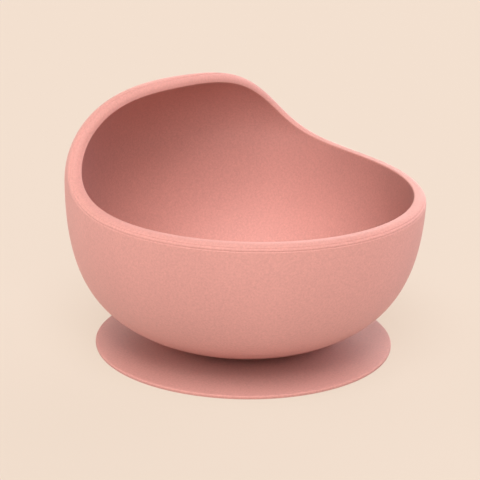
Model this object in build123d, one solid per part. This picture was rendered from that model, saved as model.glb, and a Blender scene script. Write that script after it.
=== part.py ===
from build123d import *
import os

# Suction bowl for a baby, in soft silicone: a round bowl with one side raised
# and curling inwards, on a thin suction base that grips a table or tray.
# Millimetres, +Z up. The origin is on the table, under the middle of the base,
# and +Y points to the raised side. The YZ plane is the plane of symmetry.

# ---- bowl ----
bowl_radius = 62.5          # outside, at the widest level
widest_height = 59.9        # that level, above the table
curl_radius = 29.9          # outside radius of the side's inward curl, above the widest level
wall = 4.4                  # side and floor
curl_wall = 3.7             # wall at the top of the curl, where it is thinnest
foot_radius = 25.0          # flat foot under the bowl
foot_height = 3.7           # its level above the table
foot_slope = 15.0           # how steeply the side leaves the foot, in degrees
low_fullness = 0.75         # how far the side runs out before it turns up, as a share of its run
high_fullness = 0.61        # how far it runs straight up to the widest level, as a share of its rise
floor_radius = 12.0         # flat middle of the floor, inside
inner_low_fullness = 0.89   # the same two shares for the inside of the side
inner_high_fullness = 0.51

# ---- rim, as the bowl is seen from the side: level at the front, upright at the raised side ----
rim_front_height = 56.1     # above the table, at the front of the bowl
rim_front_slope = 1.4       # how much it climbs there, in degrees
rim_front_pull = 86.5       # how far the curve keeps to that slope
rim_hood_offset = 34.5      # from the middle of the bowl to the upright edge of the raised side
rim_hood_pull = 35.4        # how far the curve keeps upright there, below the top of the bowl
lip_outer_round = 2.5       # rounding along the outer edge of the rim
lip_inner_round = 0.5       # rounding along its inner edge

# ---- suction base ----
base_radius = 52.5
lip_thickness = 1.2         # sealing lip, at the edge of the base
lip_round = 0.45            # rounding of the lip's upper edge
land_width = 2.4            # flat ring of the lip that seals on the table
dish_depth = 1.6            # hollow under the middle of the base
neck_radius = 21.0          # short neck that carries the bowl's foot
neck_rise = 0.9             # height of the neck above the disc
neck_round = 0.7            # fillet between neck and disc

# ---- spigot on the base, in a recess in the bowl's foot ----
spigot_radius = 9.0
spigot_height = 1.6
spigot_clearance = 0.3
spigot_chamfer = 0.4

# ---- room that the cutting solid has past the bowl ----
cut_margin = 5.0


def turn(half_section):
    """Turn a half section, drawn with radius along X and height along Y, about Z."""
    return revolve(Plane.XZ * half_section, Axis.Z)


def closed_form(foot_edge, slope, widest, fullness_low, fullness_high, radius_of_curl):
    """Solid of revolution: flat foot, side, curl over the widest level and a flat top."""
    run_out = Vector((widest.X - foot_edge.X) * fullness_low, 0).rotate(Axis.Z, slope)
    run_up = Vector(0, (widest.Y - foot_edge.Y) * fullness_high)
    foot = Line((0, foot_edge.Y), foot_edge)
    side = Bezier(foot_edge, foot_edge + run_out, widest - run_up, widest)
    curl = CenterArc((widest.X - radius_of_curl, widest.Y), radius_of_curl, 0, 90)
    top = Line(curl @ 1, (0, widest.Y + radius_of_curl))
    middle = Line(top @ 1, foot @ 0)
    return turn(make_face([foot, side, curl, top, middle]))


def closed_shell():
    """The bowl's shell before its rim is cut, closed over the top."""
    outside = closed_form(
        Vector(foot_radius, foot_height),
        foot_slope,
        Vector(bowl_radius, widest_height),
        low_fullness,
        high_fullness,
        curl_radius,
    )
    inside = closed_form(
        Vector(floor_radius, foot_height + wall),
        0,
        Vector(bowl_radius - wall, widest_height),
        inner_low_fullness,
        inner_high_fullness,
        curl_radius - curl_wall,
    )
    return outside - inside


def rim_curve():
    """The rim as seen from the side, with distance towards +Y along X and height along Y."""
    past_top = widest_height + curl_radius + cut_margin
    front = Vector(-bowl_radius, rim_front_height)
    hood = Vector(rim_hood_offset, past_top)
    front_pull = Vector(rim_front_pull, 0).rotate(Axis.Z, rim_front_slope)
    hood_pull = Vector(0, rim_hood_pull + cut_margin)
    return Bezier(front, front + front_pull, hood - hood_pull, hood)


def rim_cutter():
    """Solid right across the bowl that takes away all that lies above the rim."""
    rim = rim_curve()
    before_front = Vector(-cut_margin, 0).rotate(Axis.Z, rim_front_slope)
    lead_in = Line(rim @ 0 + before_front, rim @ 0)
    over_top = Line(rim @ 1, ((lead_in @ 0).X, (rim @ 1).Y))
    front = Line(over_top @ 1, lead_in @ 0)
    half_width = bowl_radius + cut_margin
    side_view = Plane.YZ.offset(-half_width) * make_face([lead_in, rim, over_top, front])
    return extrude(side_view, 2 * half_width)


def rim_face(body):
    """The ring that the cutter leaves on top of the wall: the one face that is an extruded curve."""
    return body.faces().filter_by(GeomType.EXTRUSION)[0]


def recess():
    """Hole in the bowl's foot for the spigot, clear of it all round."""
    depth = spigot_height + spigot_clearance
    radius = spigot_radius + spigot_clearance
    return Pos(0, 0, foot_height) * Cylinder(radius, depth, align=(Align.CENTER, Align.CENTER, Align.MIN))


def bowl():
    """Shell with its rim cut to the side view, a rounded lip and a recess in the foot."""
    body = closed_shell() - rim_cutter()
    body = fillet(rim_face(body).outer_wire().edges(), lip_outer_round)
    body = fillet(rim_face(body).inner_wires()[0].edges(), lip_inner_round)
    return body - recess()


def suction_base():
    """Thin disc with a sealing lip, dished underneath, with a neck and a spigot on top."""
    disc_top = foot_height - neck_rise
    land_inner = base_radius - land_width
    spigot_top = foot_height + spigot_height
    spigot_side = Line((spigot_radius, foot_height), (spigot_radius, spigot_top - spigot_chamfer))
    spigot_edge = Line(spigot_side @ 1, (spigot_radius - spigot_chamfer, spigot_top))
    spigot_end = Line(spigot_edge @ 1, (0, spigot_top))
    middle = Line(spigot_end @ 1, (0, dish_depth))
    dish = TangentArc((0, dish_depth), (land_inner, 0), tangent=(1, 0))
    land = Line(dish @ 1, (base_radius, 0))
    edge = Line(land @ 1, (base_radius, lip_thickness - lip_round))
    edge_round = TangentArc(edge @ 1, (base_radius - lip_round, lip_thickness), tangent=(0, 1))
    disc = Line(edge_round @ 1, (neck_radius + neck_round, disc_top))
    neck_fillet = TangentArc((neck_radius, disc_top + neck_round), disc @ 1, tangent=(0, -1))
    neck = Line(neck_fillet @ 0, (neck_radius, foot_height))
    seat = Line(neck @ 1, spigot_side @ 0)
    outline = [spigot_side, spigot_edge, spigot_end, middle, dish, land, edge, edge_round]
    outline += [disc, neck_fillet, neck, seat]
    return turn(make_face(outline))


def main():
    os.makedirs("parts", exist_ok=True)
    export_step(bowl(), "parts/bowl.step")
    export_step(suction_base(), "parts/suction_base.step")


if __name__ == "__main__":
    main()
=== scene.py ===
import math

import bpy
import numpy as np
from mathutils import Matrix, Vector


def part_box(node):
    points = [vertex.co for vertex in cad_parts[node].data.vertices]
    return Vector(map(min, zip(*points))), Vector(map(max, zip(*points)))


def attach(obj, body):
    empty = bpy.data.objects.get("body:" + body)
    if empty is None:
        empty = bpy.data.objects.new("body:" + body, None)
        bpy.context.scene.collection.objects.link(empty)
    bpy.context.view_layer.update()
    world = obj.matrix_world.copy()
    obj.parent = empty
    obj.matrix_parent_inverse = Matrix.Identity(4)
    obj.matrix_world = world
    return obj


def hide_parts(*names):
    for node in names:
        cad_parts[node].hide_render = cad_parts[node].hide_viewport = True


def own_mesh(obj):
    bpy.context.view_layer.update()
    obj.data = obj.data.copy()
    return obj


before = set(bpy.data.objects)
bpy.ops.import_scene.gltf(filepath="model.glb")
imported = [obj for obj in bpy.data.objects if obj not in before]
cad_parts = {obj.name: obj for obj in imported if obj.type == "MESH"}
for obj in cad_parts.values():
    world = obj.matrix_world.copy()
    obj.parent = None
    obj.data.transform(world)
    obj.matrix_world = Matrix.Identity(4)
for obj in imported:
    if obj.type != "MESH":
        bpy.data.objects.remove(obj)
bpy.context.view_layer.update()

# Suction bowl in soft silicone. Metres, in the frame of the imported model: +Z up, the table at
# z = 0, the origin under the middle of the base and +Y towards the raised side of the bowl.
# Outer sizes come from the frame. The others repeat the sizes of the solids, apart from the
# parting line and the bevel under the sealing lip, which only this scene has.

MM = 0.001

# ---- sizes of the bowl ----
BOWL_LOW, BOWL_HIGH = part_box("bowl")
BOWL_RADIUS = BOWL_HIGH[1]
FOOT_HEIGHT = BOWL_LOW[2]
WIDEST_HEIGHT = 59.9 * MM
CURL_RADIUS = 29.9 * MM
WALL = 4.4 * MM
CURL_WALL = 3.7 * MM  # at the top of the curl
FOOT_RADIUS = 25.0 * MM
FOOT_SLOPE = math.radians(15.0)
FULLNESS = (0.75, 0.61)  # how far the wall keeps to its slope and to upright, as shares
FLOOR_RADIUS = 12.0 * MM  # flat middle of the floor, inside
INNER_FULLNESS = (0.89, 0.51)
RECESS_RADIUS = 9.3 * MM
RECESS_DEPTH = 1.9 * MM

# ---- rim, as the bowl is seen from the side ----
RIM_FRONT_HEIGHT = 56.1 * MM
RIM_FRONT_SLOPE = math.radians(1.4)
RIM_FRONT_PULL = 86.5 * MM  # how far the curve keeps to the slope at the front
RIM_HOOD_OFFSET = 34.5 * MM  # from the middle to the upright edge of the raised side
RIM_HOOD_PULL = 40.4 * MM  # how far the curve keeps upright there
RIM_PAST_TOP = 5.0 * MM  # how far the curve goes on over the bowl
LIP_OUTER_ROUND = 2.5 * MM
LIP_INNER_ROUND = 0.5 * MM
LIP_ARC = LIP_OUTER_ROUND * math.pi / 2  # length across the outer rounding

# ---- parting line of the mould, a fine bead between two grooves along the outside of the lip ----
# Rises are measured along the lip's surface, from the foot of its outer rounding.
BEAD_RISE = 0.95 * MM
BEAD_HEIGHT = 0.04 * MM
BEAD_WIDTH = 0.35 * MM
GROOVE_RISES = (0.5 * MM, 1.6 * MM)
GROOVE_DEPTH = 0.16 * MM
GROOVE_WIDTH = 0.19 * MM
BEAD_REACH = 1.3 * MM  # how far to either side of the foot and the bead the rows are close

# ---- sizes of the suction base ----
BASE_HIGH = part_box("suction_base")[1]
BASE_RADIUS = BASE_HIGH[1]
SPIGOT_TOP = BASE_HIGH[2]
LIP_THICKNESS = 1.2 * MM
LIP_ROUND = 0.45 * MM
LIP_BEVEL = 0.15 * MM
LAND_WIDTH = 2.4 * MM  # flat ring that seals on the table
DISH_DEPTH = 1.6 * MM
NECK_RADIUS = 21.0 * MM
NECK_RISE = 0.9 * MM  # above the disc
NECK_ROUND = 0.7 * MM
SPIGOT_RADIUS = 9.0 * MM
SPIGOT_CHAMFER = 0.4 * MM

# ---- how finely the pieces are divided ----
COLUMNS = 420
CURVE_POINTS = 1500
WALL_ROWS = 70
ROWS_BELOW_BEAD = 17
ROWS_OVER_BEAD = 36
ROWS_PAST_BEAD = 8
ROWS_ACROSS_CUT = 4
ROUND_ROWS = 9
DISC_ROWS = 25
FOOT_RING = 17.0 * MM
FLOOR_RINGS = (0.75, 0.5, 0.25)  # as shares of the floor's radius
DISH_RING = 2.0 * MM  # smallest ring of the dish
SHARP_ANGLE = math.radians(50)

# ---- silicone ----
PINK = (0.78, 0.355, 0.303)
TINT_RANGE = (0.9, 1.1)  # darkest and lightest tint, as shares of the pink
CLOUD_SCALE = 38
GRAIN_SCALE = 1400
GRAIN_SHARE = 0.8  # of the tint. The rest is cloud
GRAIN_HEIGHT = 0.12 * MM

# ---- surroundings ----
# The camera sees FLOOR_SEEN for the most part, and for the rest the lit floor with its shadow.
FLOOR_SIZE = 12  # metres
FLOOR_COLOUR = (0.95, 0.90, 0.85)
FLOOR_SEEN = (0.862, 0.694, 0.561)
FLOOR_SEEN_SHARE = 0.85
BACKDROP_SEEN = (0.896, 0.745, 0.624)
WORLD_STRENGTH = 0.02
LAMP_SPREAD = math.radians(40)

# ---- camera ----
CAMERA_BEARING = math.radians(-44.27)
CAMERA_HEIGHT = math.radians(18.371)
CAMERA_ROLL = math.radians(0.893)
CAMERA_DISTANCE = 0.6
CAMERA_LENS = 128.53  # focal length in millimetres, as the sensor's width
SENSOR_WIDTH = 36
AIM_RIGHT = -1.74 * MM  # the point that the camera looks at, from the middle of the bowl
AIM_HEIGHT = 37.67 * MM


# ---------------------------------------------------------------- curves


def bezier(points):
    """Points and tangents along a cubic Bezier curve in a plane."""
    a, b, c, d = (np.array(p, float) for p in points)
    t = np.linspace(0, 1, CURVE_POINTS)[:, None]
    place = (1 - t) ** 3 * a + 3 * (1 - t) ** 2 * t * b + 3 * (1 - t) * t * t * c + t ** 3 * d
    tangent = (1 - t) ** 2 * (b - a) + 2 * (1 - t) * t * (c - b) + t * t * (d - c)
    return place, tangent / np.linalg.norm(tangent, axis=1, keepdims=True)


def arc(centre, radius, start, end, count):
    """Points along an arc in a plane, between two angles in radians."""
    angle = np.linspace(start, end, count)
    return np.stack([centre[0] + radius * np.cos(angle), centre[1] + radius * np.sin(angle)], 1)


def turned(flat, bearing):
    """Points given as radius and height, turned to their bearings from +Y."""
    return np.stack([flat[..., 0] * np.sin(bearing), flat[..., 0] * np.cos(bearing), flat[..., 1]], -1)


def ring(radius, height, bearing):
    """Level ring of points round the axis."""
    return turned(np.tile([radius, height], (len(bearing), 1)), bearing)


def between(start, end, share):
    """Unit vectors at a share of the angle from start to end."""
    angle = np.arccos(np.clip((start * end).sum(1), -1, 1))[:, None]
    return (np.sin((1 - share) * angle) * start + np.sin(share * angle) * end) / np.sin(angle)


def wall_profile(foot_edge, slope, widest, fullness, curl):
    """Half section of a wall: radius, height and outward normal by distance along it.

    It leaves the foot at a slope, is upright at its widest and curls inwards over that."""
    run, rise = widest[0] - foot_edge[0], widest[1] - foot_edge[1]
    out = (
        foot_edge[0] + run * fullness[0] * math.cos(slope),
        foot_edge[1] + run * fullness[0] * math.sin(slope),
    )
    up = (widest[0], widest[1] - rise * fullness[1])
    side, tangent = bezier([foot_edge, out, up, widest])
    angle = np.linspace(0, math.pi / 2, CURVE_POINTS)[1:]
    over = arc((widest[0] - curl, widest[1]), curl, angle[0], angle[-1], len(angle))
    place = np.vstack([side, over])
    side_normal = np.stack([tangent[:, 1], -tangent[:, 0]], 1)
    over_normal = np.stack([np.cos(angle), np.sin(angle)], 1)
    steps = np.linalg.norm(np.diff(place, axis=0), axis=1)
    return {
        "along": np.concatenate([[0], np.cumsum(steps)]),
        "place": place,
        "normal": np.vstack([side_normal, over_normal]),
    }


def at(profile, key, distance):
    """Value of a profile at distances along it."""
    columns = [np.interp(distance, profile["along"], profile[key][:, i]) for i in (0, 1)]
    return np.stack(columns, -1)


def rim_side_view():
    """The rim from the side: distance towards +Y and height, with its normal out of the silicone."""
    top = WIDEST_HEIGHT + CURL_RADIUS + RIM_PAST_TOP
    front = (-BOWL_RADIUS, RIM_FRONT_HEIGHT)
    front_pull = (
        front[0] + RIM_FRONT_PULL * math.cos(RIM_FRONT_SLOPE),
        front[1] + RIM_FRONT_PULL * math.sin(RIM_FRONT_SLOPE),
    )
    hood_pull = (RIM_HOOD_OFFSET, top - RIM_HOOD_PULL)
    place, tangent = bezier([front, front_pull, hood_pull, (RIM_HOOD_OFFSET, top)])
    return place, np.stack([-tangent[:, 1], tangent[:, 0]], 1)


def lip_round(profile, radius, side, bearing):
    """Rounding between a wall and the cut rim, for each bearing.

    Gives the centres, the two directions that the rounding runs between and the distance along
    the wall where it starts. side is -1 where the silicone lies inside the wall and 1 outside it."""
    cut, cut_normal = rim_side_view()
    cut = cut - cut_normal * radius
    inset = profile["place"] + profile["normal"] * radius * side
    reach = np.interp(inset[:, 1], cut[:, 1], cut[:, 0])
    gap = inset[None, :, 0] * np.cos(bearing)[:, None] - reach[None, :]
    last = np.argmax(gap < 0, axis=1)
    row = np.arange(len(bearing))
    before, after = gap[row, last - 1], gap[row, last]
    share = before / (before - after)
    distance = profile["along"][last - 1] * (1 - share) + profile["along"][last] * share
    place = at(profile, "place", distance)
    normal = at(profile, "normal", distance)
    normal /= np.linalg.norm(normal, axis=1, keepdims=True)
    centre = place + normal * radius * side
    facing = np.stack([np.interp(centre[:, 1], cut[:, 1], cut_normal[:, i]) for i in (0, 1)], 1)
    facing /= np.linalg.norm(facing, axis=1, keepdims=True)
    to_wall = -side * turned(normal, bearing)
    to_cut = np.stack([np.zeros(len(bearing)), facing[:, 0], facing[:, 1]], 1)
    return turned(centre, bearing), to_wall, to_cut, distance


def lip_shares():
    """Rows across the lip's outer rounding, closer together at the parting bead."""
    past_bead = (BEAD_RISE + BEAD_REACH) / LIP_ARC
    over_bead = np.linspace(0, past_bead, ROWS_OVER_BEAD)
    return np.concatenate([over_bead, np.linspace(past_bead, 1, ROWS_PAST_BEAD)[1:]])


def bead(rise):
    """Height of the parting bead and its grooves, at a rise above the foot of the lip's rounding."""
    ridge = BEAD_HEIGHT * math.exp(-((rise - BEAD_RISE) / BEAD_WIDTH) ** 2)
    grooves = sum(math.exp(-((rise - groove) / GROOVE_WIDTH) ** 2) for groove in GROOVE_RISES)
    return ridge - GROOVE_DEPTH * grooves


# ---------------------------------------------------------------- meshes


def skin(name, rows, first_middle, last_middle):
    """Closed mesh from rows of points round the axis, with a middle point at each end."""
    count = len(rows[0])
    points = [tuple(first_middle)] + [tuple(p) for row in rows for p in row] + [tuple(last_middle)]
    last = len(points) - 1
    end = 1 + (len(rows) - 1) * count
    faces = []
    for j in range(count):
        k = (j + 1) % count
        faces.append((0, 1 + k, 1 + j))
        for i in range(len(rows) - 1):
            low, high = 1 + i * count, 1 + (i + 1) * count
            faces.append((low + j, low + k, high + k, high + j))
        faces.append((end + j, end + k, last))
    mesh = bpy.data.meshes.new(name)
    mesh.from_pydata(points, [], faces)
    mesh.update()
    mesh.shade_smooth()
    mesh.set_sharp_from_angle(angle=SHARP_ANGLE)
    piece = bpy.data.objects.new(name, mesh)
    bpy.context.scene.collection.objects.link(piece)
    return piece


def bowl():
    """The bowl: outside up to the rim, over the rounded lip and down the inside."""
    bearing = np.linspace(0, 2 * math.pi, COLUMNS, endpoint=False)
    recess_top = FOOT_HEIGHT + RECESS_DEPTH
    floor_height = FOOT_HEIGHT + WALL
    outside = wall_profile(
        foot_edge=(FOOT_RADIUS, FOOT_HEIGHT),
        slope=FOOT_SLOPE,
        widest=(BOWL_RADIUS, WIDEST_HEIGHT),
        fullness=FULLNESS,
        curl=CURL_RADIUS,
    )
    inside = wall_profile(
        foot_edge=(FLOOR_RADIUS, floor_height),
        slope=0,
        widest=(BOWL_RADIUS - WALL, WIDEST_HEIGHT),
        fullness=INNER_FULLNESS,
        curl=CURL_RADIUS - CURL_WALL,
    )
    outer_centre, outer_wall, outer_cut, outer_reach = lip_round(outside, LIP_OUTER_ROUND, -1, bearing)
    inner_centre, inner_wall, inner_cut, inner_reach = lip_round(inside, LIP_INNER_ROUND, 1, bearing)
    cut_start = outer_centre + outer_cut * LIP_OUTER_ROUND
    cut_end = inner_centre + inner_cut * LIP_INNER_ROUND

    rows = [
        ring(RECESS_RADIUS, recess_top, bearing),
        ring(RECESS_RADIUS, FOOT_HEIGHT, bearing),
        ring(FOOT_RING, FOOT_HEIGHT, bearing),
    ]
    for share in np.linspace(0, 1, WALL_ROWS)[:-1]:
        rows.append(turned(at(outside, "place", (outer_reach - BEAD_REACH) * share), bearing))
    for below in np.linspace(BEAD_REACH, 0, ROWS_BELOW_BEAD)[:-1]:
        reach = outer_reach - below
        raised = at(outside, "place", reach) + at(outside, "normal", reach) * bead(-below)
        rows.append(turned(raised, bearing))
    for share in lip_shares():
        facing = between(outer_wall, outer_cut, share)
        rows.append(outer_centre + facing * (LIP_OUTER_ROUND + bead(share * LIP_ARC)))
    for share in np.linspace(0, 1, ROWS_ACROSS_CUT)[1:-1]:
        rows.append(cut_start * (1 - share) + cut_end * share)
    for share in np.linspace(1, 0, ROUND_ROWS):
        rows.append(inner_centre + between(inner_wall, inner_cut, share) * LIP_INNER_ROUND)
    for share in np.linspace(1, 0, WALL_ROWS)[1:]:
        rows.append(turned(at(inside, "place", inner_reach * share), bearing))
    for share in FLOOR_RINGS:
        rows.append(ring(FLOOR_RADIUS * share, floor_height, bearing))
    return skin("bowl_skin", rows, (0, 0, recess_top), (0, 0, floor_height))


def base_section():
    """Half section of the suction base as radius and height, from the spigot down to the dish."""
    disc_top = FOOT_HEIGHT - NECK_RISE
    land_inner = BASE_RADIUS - LAND_WIDTH
    dish_radius = (land_inner ** 2 + DISH_DEPTH ** 2) / (2 * DISH_DEPTH)
    slope = math.atan2(disc_top - LIP_THICKNESS, BASE_RADIUS - LIP_ROUND - NECK_RADIUS - NECK_ROUND)
    spigot = [
        (SPIGOT_RADIUS / 2, SPIGOT_TOP),
        (SPIGOT_RADIUS - SPIGOT_CHAMFER, SPIGOT_TOP),
        (SPIGOT_RADIUS, SPIGOT_TOP - SPIGOT_CHAMFER),
        (SPIGOT_RADIUS, FOOT_HEIGHT),
    ]
    neck_top = [((SPIGOT_RADIUS + NECK_RADIUS) / 2, FOOT_HEIGHT), (NECK_RADIUS, FOOT_HEIGHT)]
    neck_middle = (NECK_RADIUS + NECK_ROUND, disc_top + NECK_ROUND)
    neck = arc(neck_middle, NECK_ROUND, math.pi, 1.5 * math.pi - slope, ROUND_ROWS)
    lip_middle = (BASE_RADIUS - LIP_ROUND, LIP_THICKNESS - LIP_ROUND)
    lip = arc(lip_middle, LIP_ROUND, math.pi / 2 - slope, 0, ROUND_ROWS)
    disc = [neck[-1] + (lip[0] - neck[-1]) * share for share in np.linspace(0, 1, DISC_ROWS)[1:-1]]
    land = [
        (BASE_RADIUS, LIP_THICKNESS / 3),
        (BASE_RADIUS - LIP_BEVEL, 0),
        (BASE_RADIUS - LAND_WIDTH / 2, 0),
    ]
    dish = [
        (radius, math.sqrt(dish_radius ** 2 - radius ** 2) - (dish_radius - DISH_DEPTH))
        for radius in np.linspace(land_inner, DISH_RING, DISC_ROWS)
    ]
    return np.vstack([spigot, neck_top, neck, disc, lip, land, dish])


def suction_base():
    """The base: spigot, neck, disc with its sealing lip, and the dish underneath."""
    bearing = np.linspace(0, 2 * math.pi, COLUMNS, endpoint=False)
    rows = [ring(radius, height, bearing)[::-1] for radius, height in base_section()]
    return skin("base_skin", rows, (0, 0, SPIGOT_TOP), (0, 0, DISH_DEPTH))


# ---------------------------------------------------------------- materials


def noise(nodes, links, place, scale, detail):
    """Noise texture fixed to the piece."""
    texture = nodes.new("ShaderNodeTexNoise")
    texture.inputs["Scale"].default_value = scale
    texture.inputs["Detail"].default_value = detail
    links.new(place.outputs["Object"], texture.inputs["Vector"])
    return texture


def silicone(name):
    """Matte moulded silicone: a soft bloom of colour, a fine blasted grain and a faint sheen."""
    material = bpy.data.materials.new(name)
    material.use_nodes = True
    nodes, links = material.node_tree.nodes, material.node_tree.links
    shader = nodes["Principled BSDF"]
    shader.inputs["Roughness"].default_value = 0.62
    shader.inputs["Specular IOR Level"].default_value = 0.35
    shader.inputs["Sheen Weight"].default_value = 0.05

    place = nodes.new("ShaderNodeTexCoord")
    cloud = noise(nodes, links, place, CLOUD_SCALE, 3)
    grain = noise(nodes, links, place, GRAIN_SCALE, 4)
    grain.inputs["Roughness"].default_value = 0.65

    both = nodes.new("ShaderNodeMix")
    both.inputs["Factor"].default_value = GRAIN_SHARE
    links.new(cloud.outputs["Fac"], both.inputs["A"])
    links.new(grain.outputs["Fac"], both.inputs["B"])
    tint = nodes.new("ShaderNodeValToRGB")
    for element, position, strength in zip(tint.color_ramp.elements, (0.3, 0.7), TINT_RANGE):
        element.position = position
        element.color = [min(1, c * strength) for c in PINK] + [1]
    links.new(both.outputs["Result"], tint.inputs["Fac"])
    links.new(tint.outputs["Color"], shader.inputs["Base Color"])

    bump = nodes.new("ShaderNodeBump")
    bump.inputs["Strength"].default_value = 0.25
    bump.inputs["Distance"].default_value = GRAIN_HEIGHT
    links.new(grain.outputs["Fac"], bump.inputs["Height"])
    links.new(bump.outputs["Normal"], shader.inputs["Normal"])
    return material


def seen_by_eye(nodes, links):
    """Socket that is 1 for what the camera sees, also in metal and glass, and 0 for light on the object."""
    path = nodes.new("ShaderNodeLightPath")
    seen = path.outputs["Is Camera Ray"]
    for ray in ("Is Glossy Ray", "Is Transmission Ray"):
        either = nodes.new("ShaderNodeMath")
        either.operation = "MAXIMUM"
        links.new(seen, either.inputs[0])
        links.new(path.outputs[ray], either.inputs[1])
        seen = either.outputs["Value"]
    return seen


def floor_material():
    """Plain cream floor. The camera sees one even colour, with the bowl's shadow faintly over it."""
    material = bpy.data.materials.new("floor_cream")
    material.use_nodes = True
    nodes, links = material.node_tree.nodes, material.node_tree.links
    shader = nodes["Principled BSDF"]
    shader.inputs["Base Color"].default_value = (*FLOOR_COLOUR, 1)
    shader.inputs["Roughness"].default_value = 0.9
    shader.inputs["Specular IOR Level"].default_value = 0.1
    plain = nodes.new("ShaderNodeEmission")
    plain.inputs["Color"].default_value = (*FLOOR_SEEN, 1)
    share = nodes.new("ShaderNodeMath")
    share.operation = "MULTIPLY"
    share.inputs[1].default_value = FLOOR_SEEN_SHARE
    mixed = nodes.new("ShaderNodeMixShader")
    links.new(seen_by_eye(nodes, links), share.inputs[0])
    links.new(share.outputs["Value"], mixed.inputs["Fac"])
    links.new(shader.outputs["BSDF"], mixed.inputs[1])
    links.new(plain.outputs["Emission"], mixed.inputs[2])
    links.new(mixed.outputs["Shader"], nodes["Material Output"].inputs["Surface"])
    return material


# ---------------------------------------------------------------- pieces

bowl_piece = bowl()
bowl_piece.data.materials.append(silicone("bowl_silicone"))
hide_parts("bowl")
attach(bowl_piece, "bowl")

base_piece = suction_base()
base_piece.data.materials.append(silicone("base_silicone"))
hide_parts("suction_base")
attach(base_piece, "base")
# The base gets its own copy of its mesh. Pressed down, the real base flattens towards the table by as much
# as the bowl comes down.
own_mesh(base_piece)

# ---------------------------------------------------------------- floor

bpy.ops.mesh.primitive_plane_add(size=FLOOR_SIZE)
floor = bpy.context.object
floor.name = "floor"
floor.data.materials.append(floor_material())

# ---------------------------------------------------------------- light


def lamp(name, bearing, height, strength, bounces=1, colour=(1, 1, 1)):
    """A distant soft lamp, from a bearing and a height above the horizon in degrees.

    The bearing is measured from the front, towards +X. bounces is how often the lamp's light is
    passed on by surfaces, and 0 keeps only its direct light."""
    light = bpy.data.lights.new(name, "SUN")
    light.energy = strength
    light.angle = LAMP_SPREAD
    light.color = colour
    light.cycles.max_bounces = bounces
    piece = bpy.data.objects.new(name, light)
    bpy.context.scene.collection.objects.link(piece)
    a, h = math.radians(bearing), math.radians(height)
    towards = Vector((math.sin(a) * math.cos(h), -math.cos(a) * math.cos(h), math.sin(h)))
    piece.rotation_euler = towards.to_track_quat("Z", "Y").to_euler()


def studio():
    """World with a faint white light, seen as a plain cream backdrop."""
    world = bpy.data.worlds.new("studio")
    bpy.context.scene.world = world
    world.use_nodes = True
    nodes, links = world.node_tree.nodes, world.node_tree.links
    light = nodes["Background"]
    light.inputs["Color"].default_value = (1, 1, 1, 1)
    light.inputs["Strength"].default_value = WORLD_STRENGTH
    backdrop = nodes.new("ShaderNodeBackground")
    backdrop.inputs["Color"].default_value = (*BACKDROP_SEEN, 1)
    backdrop.inputs["Strength"].default_value = 1
    mixed = nodes.new("ShaderNodeMixShader")
    links.new(seen_by_eye(nodes, links), mixed.inputs["Fac"])
    links.new(light.outputs["Background"], mixed.inputs[1])
    links.new(backdrop.outputs["Background"], mixed.inputs[2])
    links.new(mixed.outputs["Shader"], nodes["World Output"].inputs["Surface"])


lamp("key", -48, 66, 2.0)
lamp("front", -40, 34, 1.3, bounces=0)
lamp("right", 75, 15, 1.0, colour=(1.0, 0.98, 1.12))
lamp("back_right", 122, 18, 1.3)
lamp("back_left", -148, 15, 1.1)
studio()

# ---------------------------------------------------------------- view


def camera():
    """Camera at the photograph's viewing angle, turned a little about its own axis."""
    data = bpy.data.cameras.new("camera")
    data.lens = CAMERA_LENS
    data.sensor_width = SENSOR_WIDTH
    piece = bpy.data.objects.new("camera", data)
    bpy.context.scene.collection.objects.link(piece)
    right = Vector((math.cos(CAMERA_BEARING), math.sin(CAMERA_BEARING), 0))
    back = Vector((
        math.sin(CAMERA_BEARING) * math.cos(CAMERA_HEIGHT),
        -math.cos(CAMERA_BEARING) * math.cos(CAMERA_HEIGHT),
        math.sin(CAMERA_HEIGHT),
    ))
    up = back.cross(right)
    x_axis = right * math.cos(CAMERA_ROLL) + up * math.sin(CAMERA_ROLL)
    y_axis = up * math.cos(CAMERA_ROLL) - right * math.sin(CAMERA_ROLL)
    place = right * AIM_RIGHT + Vector((0, 0, AIM_HEIGHT)) + back * CAMERA_DISTANCE
    turn = Matrix((x_axis, y_axis, back)).transposed().to_4x4()
    piece.matrix_world = Matrix.Translation(place) @ turn
    bpy.context.scene.camera = piece


camera()
bpy.context.scene.view_settings.view_transform = "Standard"
